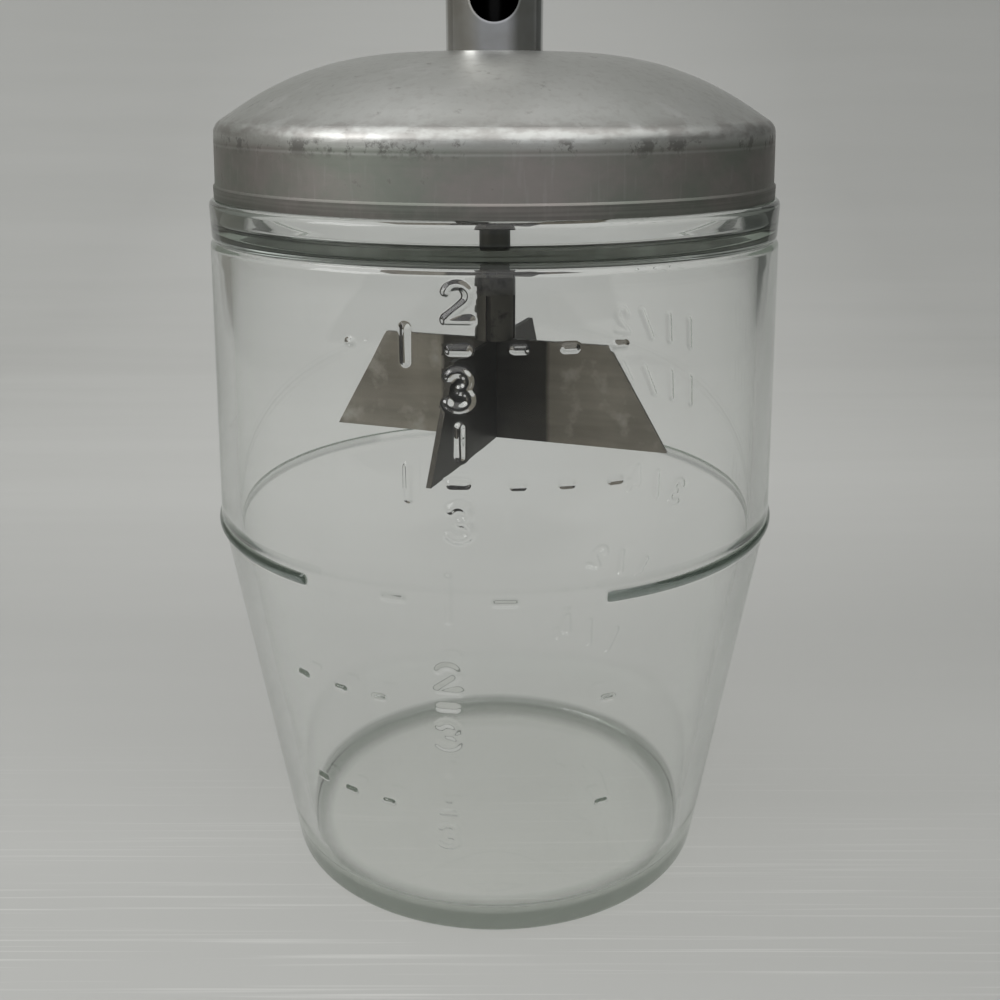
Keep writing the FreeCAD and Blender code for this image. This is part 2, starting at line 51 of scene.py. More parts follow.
# Shader arithmetic: a wire is one socket of a material
class Wire:
    def __init__(self, tree, socket=None):
        self.tree, self.socket = tree, socket

    def node(self, kind, settings, sockets, give=0):
        made = self.tree.nodes.new("ShaderNode" + kind)
        for name, value in settings.items():
            if name != "stops":
                setattr(made, name, value)
                continue
            band = made.color_ramp.elements  # stops come as (place, colour)
            while len(band) < len(value):
                band.new(1)
            for stop, (place, colour) in zip(band, value):
                stop.position = place
                stop.color = (*colour, 1) if isinstance(colour, tuple) else (colour, colour, colour, 1)
        for name, value in sockets.items():
            if isinstance(value, Wire):
                self.tree.links.new(value.socket, made.inputs[name])
            else:
                made.inputs[name].default_value = value
        return Wire(self.tree, made.outputs[give])

    def math(self, operation, first, second=0.0):
        return self.node("Math", {"operation": operation}, {0: first, 1: second})

    def __add__(self, other):
        return self.math("ADD", self, other)

    def __sub__(self, other):
        return self.math("SUBTRACT", self, other)

    def __mul__(self, other):
        return self.math("MULTIPLY", self, other)

    def __rsub__(self, other):
        return self.math("SUBTRACT", other, self)

    __radd__, __rmul__ = __add__, __mul__

    def clipped(self, low, high):  # 0 below low, 1 above high, straight between
        return self.node("MapRange", {}, {"Value": self, "From Min": low, "From Max": high})

    def within(self, rise, fall):  # 1 between the pairs, straight up over the first and down over the second
        return self.clipped(*rise) * (1 - self.clipped(*fall))

    def blended(self, first, second):  # colours mixed by this wire, first at 0
        return self.node("Mix", {"data_type": "RGBA"}, {0: self, 6: first, 7: second}, 2)


def colour(red, green, blue):
    return (red, green, blue, 1.0)


def newFinish(name):
    finish = bpy.data.materials.new(name)
    finish.use_nodes = True
    finish.node_tree.nodes.clear()
    wire = Wire(finish.node_tree)
    return finish, wire, wire.node("TexCoord", {}, {}, "Object")


def stretched(place, scale, turn=(0, 0, 0)):
    return place.node("Mapping", {}, {"Vector": place, "Scale": scale, "Rotation": turn})


def along(place, axis):  # one coordinate, in metres
    return place.node("SeparateXYZ", {}, {"Vector": place}, axis)


def outward(place):  # distance from the object's axis, in metres
    return place.node("VectorMath", {"operation": "LENGTH"}, {0: stretched(place, (1, 1, 0))}, "Value")


def inMillimetres(length):
    return length * (1 / mm)


def lightPath(wire, name):
    return wire.node("LightPath", {}, {}, name)


def speckle(place, size, detail=4.0, rough=0.55, bend=0.0):  # size is the largest grain, in metres
    return place.node("TexNoise", {}, {"Vector": place, "Scale": 1 / size, "Detail": detail,
                                       "Roughness": rough, "Distortion": bend}, "Fac")


def bumped(height, depth):  # depth in metres at a height of 1
    return height.node("Bump", {}, {"Height": height, "Distance": depth, "Strength": 1.0}, "Normal")


def shaded(wire, **sockets):
    names = {"tint": "Base Color", "metal": "Metallic", "rough": "Roughness", "normal": "Normal",
             "coat": "Coat Weight", "coatRough": "Coat Roughness", "shine": "Specular IOR Level",
             "glass": "Transmission Weight", "ior": "IOR"}
    return wire.node("BsdfPrincipled", {}, {names[name]: value for name, value in sockets.items()})


def output(surface, volume=None):
    sockets = {"Surface": surface}
    if volume:
        sockets["Volume"] = volume
    surface.tree.nodes.new("ShaderNodeOutputMaterial")
    for name, value in sockets.items():
        surface.tree.links.new(value.socket, surface.tree.nodes[-1].inputs[name])


# In every finish a pair is where a mask starts and where it is full. Heights and radii are in millimetres,
# the sizes of grains and reliefs in metres
def pressedGlass():
    look = {
        "tint": colour(0.995, 1.0, 0.995), "ior": 1.5, "wave": 0.030, "waveDepth": 0.00012,
        "absorbed": colour(0.62, 0.74, 0.66), "density": 4.0, "shadow": colour(0.985, 0.985, 0.98),
        "heelShade": colour(0.38, 0.41, 0.38), "heelOut": (29.0, 32.0), "heelUp": (4.0, 5.0),
        "line": colour(0.10, 0.13, 0.115), "lineLean": 0.125, "lineOut": (36.32, 36.45),
        "lineFoot": (57.7, 57.9), "lineTop": (60.1, 60.3), "gapMiddle": -5.0, "gapHalf": (18.0, 19.5),
        "farSide": (-8.0, 8.0), "farFade": 0.6,
        "dim": colour(0.70, 0.73, 0.70), "dark": colour(0.35, 0.38, 0.35), "bounces": 1.5,
        "beadFoot": (102.0, 102.6), "beadTop": (107.5, 108.0),
    }
    finish, wire, place = newFinish("pressedGlass")
    up, out = inMillimetres(along(place, "Z")), inMillimetres(outward(place))
    across, away = inMillimetres(along(place, "X")), inMillimetres(along(place, "Y"))
    # Painted shade: the heel ring of the glass is painted darker
    heelShade = out.clipped(*look["heelOut"]) * (1 - up.clipped(*look["heelUp"]))
    # Painted shade: a dark green line is painted along the foot of the cup bead, left out where there is no
    # bead and fainter on the far side
    line = (out - up * look["lineLean"]).clipped(*look["lineOut"])
    line = line * up.within(look["lineFoot"], look["lineTop"])
    line = line * wire.math("ABSOLUTE", across - look["gapMiddle"]).clipped(*look["gapHalf"])
    line = line * (1 - look["farFade"] * away.clipped(*look["farSide"]))
    tint = line.blended(heelShade.blended(look["tint"], look["heelShade"]), look["line"])
    waves = bumped(speckle(place, look["wave"], 1.0), look["waveDepth"])
    glass = shaded(wire, tint=tint, rough=0.0, glass=1.0, ior=look["ior"], normal=waves)
    # Light that rings on inside the wall gets out dim, and the bead's band gets a darker colour still:
    # painted shade
    bead = up.within(look["beadFoot"], look["beadTop"])
    trapped = wire.math("GREATER_THAN", lightPath(wire, "Glossy Depth") + bead, look["bounces"])
    dim, dark, clear = (wire.node("BsdfTransparent", {}, {"Color": look[name]})
                        for name in ("dim", "dark", "shadow"))
    ringing = wire.node("MixShader", {}, {0: bead, 1: dim, 2: dark})
    seen = wire.node("MixShader", {}, {0: trapped, 1: glass, 2: ringing})
    # Lamps shine through with hardly any shadow
    lamps = wire.math("MAXIMUM", lightPath(wire, "Is Shadow Ray"), lightPath(wire, "Is Diffuse Ray"))
    murk = wire.node("VolumeAbsorption", {}, {"Color": look["absorbed"], "Density": look["density"]})
    output(wire.node("MixShader", {}, {0: lamps, 1: seen, 2: clear}), murk)
    return finish


def spunAluminium():
    look = {
        "dome": colour(0.605, 0.61, 0.59), "dull": colour(0.475, 0.485, 0.46),
        "pale": colour(0.72, 0.72, 0.71), "skirt": colour(0.285, 0.265, 0.25),
        "green": colour(0.235, 0.25, 0.22), "grime": colour(0.055, 0.05, 0.045),
        "crease": (115.4, 116.5), "hem": (109.2, 109.5),
        "lineFoot": (114.85, 115.1), "lineTop": (115.1, 115.35), "dirtFoot": (114.2, 115.6),
        "dirtTop": (116.4, 117.0), "bendFoot": (116.0, 117.0), "bendTop": (118.2, 119.4),
        "centre": (11.0, 22.0), "relief": 0.000014,
    }
    finish, wire, place = newFinish("spunAluminium")
    height, out = inMillimetres(along(place, "Z")), inMillimetres(outward(place))
    cloud = speckle(place, 0.030, 6.0, 0.6, 0.5)
    blotch = speckle(stretched(place, (60, 60, 110), (0.3, 0.2, 0)), 1.0, 5.0, 0.65)
    fine = speckle(place, 0.0012, 3.0)
    turning = speckle(stretched(place, (25, 25, 2200)), 1.0, 2.0, 0.6)  # fine lines round the skirt
    upright = speckle(stretched(place, (1500, 1500, 130)), 1.0, 2.0, 0.5)  # scratches up and down it
    dents = speckle(stretched(place, (260, 260, 700)), 1.0, 3.0, 0.6)
    streaks = speckle(stretched(place, (90, 260, 260), (0, 0, 0.5)), 1.0, 3.0, 0.5).clipped(0.60, 0.70)
    low = 1 - height.clipped(*look["crease"])
    hem = 1 - height.clipped(*look["hem"])
    line = height.within(look["lineFoot"], look["lineTop"])
    bend = height.within(look["bendFoot"], look["bendTop"])
    centre = 1 - out.clipped(*look["centre"])
    dirt = speckle(place, 0.0042, 6.0, 0.75).clipped(0.535, 0.60)
    dirt = height.within(look["dirtFoot"], look["dirtTop"]) * dirt
    specks = speckle(place, 0.0024, 4.0, 0.7).clipped(0.65, 0.72)
    worn = wire.math("MAXIMUM", dirt * 0.6, specks * 0.3)
    dome = cloud.clipped(0.35, 0.68).blended(look["dome"], look["dull"])
    dome = (streaks * 0.35).blended(dome, look["pale"])
    # The skirt's colour is about half as bright as the dome's: painted shade for the lid's side, over its own
    # brownish, blotched tone
    wall = blotch.clipped(0.38, 0.62).blended(look["skirt"], look["green"])
    scratches = low * upright.clipped(0.60, 0.72)
    # Painted highlight: a pale line is painted round the top of the skirt, where its groove's edge catches
    # the light
    tint = (line * 0.2 + scratches * 0.05).blended(low.blended(dome, wall), look["pale"])
    # The band along the hem is made darker, in level lines round it
    hemDarkening = hem * (0.16 + 0.22 * turning.clipped(0.4, 0.6))
    tint = wire.math("MAXIMUM", worn, hemDarkening).blended(tint, look["grime"])
    # Painted shade: the crease band is darkened in patches towards the skirt's colour, breaking up its
    # highlight
    tint = (bend * 0.5 * dents.clipped(0.42, 0.58)).blended(tint, look["skirt"])
    tint = (fine.clipped(0.5, 0.7) * 0.22).blended(tint, look["skirt"])
    rough = 0.29 + 0.12 * cloud + 0.12 * fine + 0.06 * low + 0.2 * worn - 0.17 * centre
    skirtRelief = turning * low * 0.35 + upright * low * 0.2
    bump = bumped(skirtRelief + fine * 0.8 + blotch * 1.5 + dents * bend * 3 - worn * 0.8, look["relief"])
    output(shaded(wire, tint=tint, metal=1.0, rough=rough, normal=bump))
    return finish


def polishedSteel(name="polishedSteel", hollow=False):
    look = {"tint": colour(0.58, 0.585, 0.58), "worn": colour(0.44, 0.43, 0.40), "relief": 0.000002,
            "inside": colour(0.02, 0.02, 0.022), "rim": colour(0.95, 0.95, 0.95), "bore": (6.85, 7.0),
            "holeHeight": 134.8, "holeEdge": (3.65, 3.85), "rimOut": (6.95, 7.0), "front": (-1.0, 0.0)}
    finish, wire, place = newFinish(name)
    cloud = speckle(place, 0.009, 4.0)
    fine = speckle(stretched(place, (1200, 1200, 60)), 1.0, 2.0)
    tint = cloud.clipped(0.4, 0.7).blended(look["tint"], look["worn"])
    if hollow:  # the tube's inside is painted near black as painted shade, and the edge of its drain hole gets a painted highlight
        out = inMillimetres(outward(place))
        tint = out.clipped(*look["bore"]).blended(look["inside"], tint)
        hole = inMillimetres(wire.node("VectorMath", {"operation": "DISTANCE"}, {
            0: stretched(place, (1, 0, 1)), 1: (0, 0, look["holeHeight"] * mm)}, "Value"))
        front = 1 - inMillimetres(along(place, "Y")).clipped(*look["front"])
        rim = (1 - hole.clipped(*look["holeEdge"])) * out.clipped(*look["rimOut"]) * front
        tint = rim.blended(tint, look["rim"])
    rough = 0.09 + 0.07 * cloud + 0.05 * fine
    output(shaded(wire, tint=tint, metal=1.0, rough=rough, normal=bumped(fine, look["relief"])))
    return finish


def plainSteel(name, tint, worn, rough=0.32, grain=0.004):
    finish, wire, place = newFinish(name)
    cloud = speckle(place, grain * 2, 5.0)
    fine = speckle(place, grain * 0.12, 3.0)
    stain = speckle(place, grain, 5.0, 0.65).clipped(0.52, 0.68)
    output(shaded(wire, tint=stain.blended(tint, worn), metal=1.0, rough=rough + 0.12 * cloud + 0.10 * stain,
                  normal=bumped(fine, 0.000006)))
    return finish


def rodSteelAndShade():
    look = {"steel": colour(0.30, 0.29, 0.26), "worn": colour(0.068, 0.065, 0.052),
            "tubeShade": colour(0.012, 0.012, 0.012), "tubeFoot": (124.0, 126.0), "tubeTop": (146.0, 154.0),
            "relief": 0.000006}
    finish, wire, place = newFinish("rodSteelAndShade")
    up = inMillimetres(along(place, "Z"))
    cloud = speckle(place, 0.008, 5.0)
    turning = speckle(stretched(place, (60, 60, 1800)), 1.0, 2.0)
    # Painted shade: along the stretch inside the tube the rod is painted near black; below that the rod is
    # darker than above it
    above = up.clipped(*look["tubeTop"])
    inside = up.within(look["tubeFoot"], look["tubeTop"])
    tint = inside.blended(above.blended(look["worn"], look["steel"]), look["tubeShade"])
    output(shaded(wire, tint=tint, metal=1.0, rough=0.24 + 0.14 * cloud + 0.08 * turning,
                  normal=bumped(turning, look["relief"])))
    return finish


def bladeSteel(name="bladeSteel", paintedShade=0.0):
    look = {"tint": colour(0.29, 0.265, 0.22), "brown": colour(0.165, 0.148, 0.118),
            "pale": colour(0.42, 0.40, 0.35), "dark": colour(0.014, 0.013, 0.011), "hub": (8.9, 9.7),
            "relief": 0.000006}
    finish, wire, place = newFinish(name)
    out = inMillimetres(outward(place))
    patches = speckle(place, 0.016, 4.0, 0.6, 0.4)
    bands = speckle(stretched(place, (30, 30, 260)), 1.0, 3.0, 0.6)  # level streaks of wear
    spots = speckle(place, 0.007, 4.0, 0.6).clipped(0.54, 0.70)
    grain = speckle(stretched(place, (90, 90, 1100)), 1.0, 2.0)
    tint = (patches * 0.5 + bands * 0.5).clipped(0.38, 0.64).blended(look["brown"], look["tint"])
    tint = (spots * 0.7).blended(tint, look["pale"])
    near = 1 - (out + patches).clipped(*look["hub"])  # painted shade round the hub, for the crossing blade's shadow and dark reflection
    # Painted shade: near the hub, and over the whole of a blade that faces away from the light, the steel is
    # blended towards near black
    tint = wire.math("MAXIMUM", near * 0.85, paintedShade).blended(tint, look["dark"])
    rough = 0.30 + 0.14 * patches + 0.06 * grain
    bump = bumped(grain + spots * 0.4, look["relief"])
    output(shaded(wire, tint=tint, metal=1.0, rough=rough, normal=bump))
    return finish


def turnedWood():
    look = {"pale": colour(0.36, 0.15, 0.055), "deep": colour(0.16, 0.05, 0.02),
            "pore": colour(0.07, 0.025, 0.012), "relief": 0.00003}
    finish, wire, place = newFinish("turnedWood")
    grain = speckle(stretched(place, (170, 170, 22), (0.12, 0.05, 0)), 1.0, 5.0, 0.6, 0.8)
    pores = speckle(stretched(place, (1400, 1400, 90)), 1.0, 2.0, 0.5).clipped(0.60, 0.72)
    tint = grain.clipped(0.32, 0.70).blended(look["deep"], look["pale"])
    tint = (pores * 0.6).blended(tint, look["pore"])
    output(shaded(wire, tint=tint, rough=0.42 + 0.15 * grain, coat=0.8, coatRough=0.12,
                  normal=bumped(grain * 0.3 - pores, look["relief"])))
    return finish


def paleSweep():  # its lengths are in metres
    look = {
        "light": colour(0.492, 0.495, 0.477), "shade": colour(0.467, 0.47, 0.452),
        "thread": colour(0.63, 0.63, 0.61), "closeBy": (-0.05, 0.03), "deep": colour(0.30, 0.302, 0.29),
        "duskRange": (-0.1, 0.62),
        "shadeBands": [(0.02, 0.14), (0.12, 0.12), (0.24, 0.50), (0.40, 0.08), (0.60, 0.05), (0.88, 0.42)],
        "rightFade": (-0.1, 0.5), "nearRight": (0.0, 0.12),
        "pool": colour(0.60, 0.603, 0.585), "poolPlace": (0.0, 0.14, 0.0), "poolEdge": (0.05, 0.24),
        "front": colour(0.13, 0.132, 0.128), "left": colour(0.235, 0.23, 0.21),
        "right": colour(0.11, 0.113, 0.107), "side": colour(0.37, 0.372, 0.36),
        "frontEdge": (-0.50, -0.18), "sideEdge": (0.42, 0.46), "backEdge": (0.30, 0.45),
        "middle": (-0.1, 0.1),
    }
    finish, wire, place = newFinish("paleSweep")
    away, across = along(place, "Y"), along(place, "X")
    threads = speckle(stretched(place, (12, 1100, 1100)), 1.0, 2.0, 0.6).clipped(0.56, 0.68)
    broad = speckle(stretched(place, (4, 40, 40)), 1.0, 3.0, 0.6)
    tint = broad.clipped(0.35, 0.65).blended(look["shade"], look["light"])
    near = 1 - away.clipped(*look["closeBy"])  # the cloth's thread shows only close by
    tint = (threads * near).blended(tint, look["thread"])
    # Painted shade: the floor and wall are painted darker in bands along their length, most just behind the
    # object and high on the wall, and darker towards the right, where light falls off
    shadeBands = wire.node("ValToRGB", {"stops": look["shadeBands"]}, {"Fac": away.clipped(*look["duskRange"])}, "Color")
    right = across.clipped(*look["rightFade"]) * 0.25 + across.clipped(*look["nearRight"]) * near * 0.3
    tint = (shadeBands + right).blended(tint, look["deep"])
    # A pale pool of light behind the jar
    fromPool = wire.node("VectorMath", {"operation": "DISTANCE"},
                         {0: stretched(place, (1, 0.5, 0)), 1: look["poolPlace"]}, "Value")
    pool = 1 - fromPool.clipped(*look["poolEdge"])
    tint = (pool * 0.55).blended(tint, look["pool"])
    # Reflections see the darker room in front of the floor and at its sides
    mirrored = lightPath(wire, "Glossy Depth").clipped(0.4, 0.6)
    tint = (mirrored * (1 - away.clipped(*look["frontEdge"]))).blended(tint, look["front"])
    side = across.clipped(*look["middle"]).blended(look["left"], look["right"])
    side = away.clipped(*look["backEdge"]).blended(look["side"], side)
    tint = (mirrored * wire.math("ABSOLUTE", across).clipped(*look["sideEdge"])).blended(tint, side)
    output(shaded(wire, tint=tint, rough=0.85, shine=0.2))
    return finish


# Modelling by hand: small steps on the selected mesh
def nothingSelected():
    if bpy.context.object and bpy.context.object.mode != "OBJECT":
        bpy.ops.object.mode_set(mode="OBJECT")
    bpy.ops.object.select_all(action="DESELECT")


# An outline from its corners (radius, height, rounding, longest step to it), rounded corners as arcs
def roundedLine(corners, arcStep=0.28):
    points = []
    for number, (x, z, rounding, longest) in enumerate(corners):
        here = Vector((x, z))
        arc = [here]
        if rounding:
            before = (Vector(corners[number - 1][:2]) - here).normalized()
            after = (Vector(corners[number + 1][:2]) - here).normalized()
            half = before.angle(after) / 2
            centre = here + (before + after).normalized() * (rounding / math.sin(half))
            spoke = here + before * (rounding / math.tan(half)) - centre
            turn = (math.pi - 2 * half) * (1 if before.cross(after) < 0 else -1)
            count = max(2, math.ceil(abs(turn) / arcStep))
            arc = [centre + Matrix.Rotation(turn * step / count, 2) @ spoke for step in range(count + 1)]
        if points:
            gap = arc[0] - points[-1]
            parts = max(1, math.ceil(gap.length / longest))
            points += [points[-1] + gap * (step / parts) for step in range(1, parts)]
        points += arc
    return [(point.x, point.y) for point in points]


def drawnLine(name, places):  # a vertex extruded from place to place, in millimetres; left in edit mode
    nothingSelected()
    bpy.ops.mesh.primitive_plane_add(size=mm, location=(0, 0, 0))
    piece = bpy.context.object
    piece.name = piece.data.name = name
    bpy.ops.object.mode_set(mode="EDIT")
    bpy.ops.mesh.select_mode(type="VERT")
    bpy.ops.mesh.select_all(action="SELECT")
    bpy.ops.mesh.merge(type="CENTER")
    places = np.array(places) * mm
    bpy.ops.transform.translate(value=places[0].tolist())
    for move in np.diff(places, axis=0):
        bpy.ops.mesh.extrude_vertices_move(TRANSFORM_OT_translate={"value": move.tolist()})
    bpy.ops.mesh.select_all(action="SELECT")
    return piece


# A section drawn along the outline, then spun round the axis
def turnedPiece(name, outline, steps):
    piece = drawnLine(name, [(out, 0, up) for out, up in outline])
    bpy.ops.mesh.spin(steps=steps, angle=2 * math.pi, center=(0, 0, 0), axis=(0, 0, 1))
    bpy.ops.mesh.select_all(action="SELECT")
    bpy.ops.mesh.remove_doubles(threshold=weld)
    bpy.ops.mesh.normals_make_consistent(inside=False)
    bpy.ops.object.mode_set(mode="OBJECT")
    bpy.ops.object.shade_smooth()
    return piece


def vertexPlaces(piece):
    places = np.empty(len(piece.data.vertices) * 3)
    piece.data.vertices.foreach_get("co", places)
    return places.reshape(-1, 3) / mm


def setVertexPlaces(piece, places):
    piece.data.vertices.foreach_set("co", (places * mm).ravel())
    piece.data.update()


def splitEdges(piece, chosen):  # halves the edges that chosen marks
    mesh = piece.data
    ends = np.empty(len(mesh.edges) * 2, np.int32)
    mesh.edges.foreach_get("vertices", ends)
    touched = np.zeros(len(mesh.vertices), bool)
    touched[ends.reshape(-1, 2)[chosen]] = True
    nothingSelected()
    bpy.context.view_layer.objects.active = piece
    piece.select_set(True)
    bpy.ops.object.mode_set(mode="EDIT")
    bpy.ops.mesh.select_mode(type="EDGE")
    bpy.ops.mesh.select_all(action="DESELECT")
    bpy.ops.object.mode_set(mode="OBJECT")
    mesh.vertices.foreach_set("select", touched)
    mesh.edges.foreach_set("select", chosen)
    bpy.ops.object.mode_set(mode="EDIT")
    bpy.ops.mesh.subdivide(number_cuts=1)
    bpy.ops.object.mode_set(mode="OBJECT")


def edgeMiddles(piece):  # middle and length of each edge
    mesh, places = piece.data, vertexPlaces(piece)
    ends = np.empty(len(mesh.edges) * 2, np.int32)
    mesh.edges.foreach_get("vertices", ends)
    first, second = places[ends[::2]], places[ends[1::2]]
    return (first + second) / 2, np.linalg.norm(first - second, axis=1)


# Glass jar: millimetres; the marks are laid out round the wall from the front, and up from the table
jar = {
    "outside": [(0, 1.4, 0, 6), (31.4, 0, 2.0, 6), (34.55, 0, 1.8, 3),
                (43.45, 57.6, 1.5, 1.6), (43.8, 60.4, 2.5, 0.25), (42.45, 101.2, 1, 1.6),
                (42.0, 101.8, 0.4, 0.4), (42.2, 102.4, 0.4, 0.4), (42.3, 107.5, 0.9, 1.2),
                (39.9, 107.5, 0.6, 1)],
    "rim": [(39.9, 115.0, 1.2, 3), (37.4, 115.0, 0.8, 1), (37.4, 104.2, 1.3, 3)],
    "inside": [(39.65, 102.3, 0.8, 1.5), (41.0, 60.4, 6, 4), (40.65, 57.6, 6, 1), (32.3, 4.0, 1.2, 4),
               (0, 4.5, 0, 5)],
    "columns": 176, "arcPoints": 12,
    "wall": (3, 101), "wallOut": 33, "near": 0.3,  # where marks can be, and what still counts as the outside
    "splits": [(2.2, 0.9), (1.5, 0.45), (1.1, 0.24)],  # how far round the marks, longest edge left whole
    "cupLine": {"height": 59.0, "radius": 43.2, "section": 1.0, "leftEnd": -27.4, "rightEnd": 15.2,
                "endRound": 1.2},
    "relief": {"fractions": (1.6, 0.42), "lowFractions": (1.6, 0.26), "cup": (1.5, 0.3),
               "dashes": (1.3, 0.38), "rear": (2.0, 0.24)},  # width of a stroke, how far it stands out
}
# Shapes in a cell one wide and one high, round its middle: arcs are (x, z, across, up, from, to) in degrees
digits = {
    "1": [[(0, 0), (0, 1)]],
    "2": [(0, 0.70, 0.42, 0.30, 160, -40), [(0.30, 0.49), (-0.42, 0.02)], [(-0.42, 0.0), (0.46, 0.0)]],
    "3": [(-0.02, 0.75, 0.38, 0.25, 150, -80), (-0.02, 0.26, 0.46, 0.27, 80, -150)],
    "4": [[(0.18, 0), (0.18, 1), (-0.46, 0.30), (0.46, 0.30)]],
    "/": [[(-0.4, 0), (0.4, 1)]],
    "-": [[(-0.5, 0), (0.5, 0)]],
}
# Each mark: shape, place round the wall, height of its foot, width, height
marks = {
    "fractions": [("2", -4.4, 95.9, 3.4, 4.3), ("-", -4.3, 92.3, 2.0, 0), ("3", -4.3, 85.0, 3.4, 4.6),
                  ("1", -11.0, 90.6, 1, 4.2),
                  ("1", -4.2, 78.8, 1, 3.8), ("-", -4.5, 75.3, 2.0, 0), ("3", -4.4, 67.8, 3.4, 4.6),
                  ("1", -11.0, 73.0, 1, 4.2)],
    "lowFractions": [("2", -6.3, 45.0, 3.2, 4.0), ("-", -6.3, 42.2, 2.0, 0), ("3", -6.4, 35.4, 3.2, 4.2),
                     ("1", -6.5, 25.9, 1, 4.0), ("-", -6.6, 23.6, 2.0, 0), ("3", -6.7, 17.2, 3.2, 4.0)],
    "cup": [("1", -6.0, 56.2, 1, 6.4), ("-", -13.5, 59.0, 2.6, 0), ("-", 1.5, 59.0, 2.6, 0)],
    "dashes": [("-", place, height, 1.3, 0) for height, places in (
        (92.4, (3.2, 9.5, 16.1)), (75.0, (3.1, 9.4, 16.0)), (42.3, (-30.3, -22.9, -16.4, 16.2)),
        (23.8, (-28.5, -22.6, -15.9, 16.1))) for place in places] + [("-", -18.5, 92.6, 0.3, 0)],
    "rear": [(shape, 92.2 + 5.6 * place, height, 2.6, 4.4)
             for height, word in ((79.8, "11/2"), (69.5, "11/4"), (50.0, "3/4"), (33.0, "1/2"), (18.0, "1/4"))
             for place, shape in enumerate(word)],
}


def markStrokes(group):  # its strokes as short straight pieces (s, z, s, z)
    pieces = []
    for shape, around, foot, width, height in marks[group]:
        for stroke in digits[shape]:
            if isinstance(stroke, tuple):
                x, z, across, up, start, stop = stroke
                angles = np.radians(np.linspace(start, stop, jar["arcPoints"]))
                line = np.stack([x + across * np.cos(angles), z + up * np.sin(angles)], 1)
            else:
                line = np.array(stroke, float)
            line = line * (width, height) + (around, foot)
            pieces.append(np.hstack([line[:-1], line[1:]]))
    return np.vstack(pieces)


def strokeDistance(around, up, strokes, reach=3.0):  # distance to the nearest stroke, inf past reach
    nearest = np.full(len(around), np.inf)
    for startS, startZ, endS, endZ in strokes:
        near = np.nonzero((around > min(startS, endS) - reach) & (around < max(startS, endS) + reach)
                          & (up > min(startZ, endZ) - reach) & (up < max(startZ, endZ) + reach))[0]
        if len(near):
            alongS, alongZ = endS - startS, endZ - startZ
            fromS, fromZ = around[near] - startS, up[near] - startZ
            part = np.clip((fromS * alongS + fromZ * alongZ) / (alongS ** 2 + alongZ ** 2), 0, 1)
            gap = np.hypot(fromS - part * alongS, fromZ - part * alongZ)
            nearest[near] = np.minimum(nearest[near], gap)
    return nearest


def makeJar():
    outline = roundedLine(jar["outside"] + jar["rim"] + jar["inside"])
    piece = turnedPiece("glassJar", outline, jar["columns"])
    top = max(range(len(outline)), key=lambda number: outline[number][1])
    low, high = jar["wall"]
    wall = [point for point in outline[:top] if low < point[1] < high and point[0] > jar["wallOut"]]
    wallUp, wallOut = [point[1] for point in wall], [point[0] for point in wall]
    strokes = {group: markStrokes(group) for group in marks}
    line = jar["cupLine"]

    def unrolled(places):  # place round the wall from the front, height, radius, and what lies on the outside
        radius = np.hypot(places[:, 0], places[:, 1])
        skin = np.interp(places[:, 2], wallUp, wallOut)
        up = places[:, 2]
        outside = (np.abs(radius - skin) < jar["near"]) & (up > wallUp[0]) & (up < wallUp[-1])
        return np.arctan2(places[:, 0], -places[:, 1]) * skin, up, skin, outside

    for reach, longest in jar["splits"]:
        middles, lengths = edgeMiddles(piece)
        around, up, skin, outside = unrolled(middles)
        gap = strokeDistance(around, up, np.vstack(list(strokes.values())))
        ends = np.minimum(np.abs(around - line["leftEnd"]), np.abs(around - line["rightEnd"])) < reach
        close = (gap < reach) | (ends & (np.abs(up - line["height"]) < reach))
        splitEdges(piece, outside & close & (lengths > longest))
    places = vertexPlaces(piece)
    around, up, skin, outside = unrolled(places)
    raised = np.zeros(len(places))
    for group, (width, relief) in jar["relief"].items():
        part = strokeDistance(around, up, strokes[group]) / (width / 2)
        raised = np.maximum(raised, np.clip(1 - part ** 2, 0, 1) ** 2 * relief)
    across = 1 - ((up - line["height"]) / line["section"]) ** 2
    gapEnds = np.maximum(line["leftEnd"] - around, around - line["rightEnd"]) / line["endRound"]
    bead = np.sqrt(np.maximum(across, 0)) * line["section"] + line["radius"] - skin
    bead = np.where(across > 0, np.maximum(bead, 0), 0) * np.sqrt(1 - np.clip(1 - gapEnds, 0, 1) ** 2)
    radius = np.hypot(places[:, 0], places[:, 1])
    new = np.where(outside, skin + np.maximum(raised, bead), radius)
    scale = new / np.maximum(radius, 1e-9)
    places[:, 0] *= scale
    places[:, 1] *= scale
    setVertexPlaces(piece, places)
    piece.data.materials.append(pressedGlass())
    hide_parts("glass_jar")
    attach(piece, "jar")
    print("jar:", len(piece.data.vertices), "vertices")


# Spring: millimetres; its lower end stands on the seat, and it shortens with the plunger's stroke
spring = {"foot": 143.04, "length": 78.9, "radius": 5.2, "wire": 0.9, "turns": 14.5, "closePitch": 1.4,
          "closeTurns": 1.5, "seat": 143.0, "stroke": 63.5, "steps": 30, "smoothBelow": 50}


def springCentreline():
    turns = np.linspace(0, spring["turns"], int(spring["turns"] * spring["steps"]) + 1)
    ends = np.minimum(turns, spring["turns"] - turns) - spring["closeTurns"]
    openness = np.clip(ends + 0.5, 0, 1)  # 0 in the closed end coils, 1 between them
    stretch = np.concatenate([[0], np.cumsum((openness[1:] + openness[:-1]) / 2 * np.diff(turns))])
    spare = spring["length"] - spring["wire"] - spring["closePitch"] * spring["turns"]
    rise = spring["closePitch"] * turns + stretch / stretch[-1] * spare
    angle = turns * 2 * math.pi
    return np.stack([spring["radius"] * np.cos(angle), spring["radius"] * np.sin(angle),
                     spring["foot"] + spring["wire"] / 2 + rise], 1)


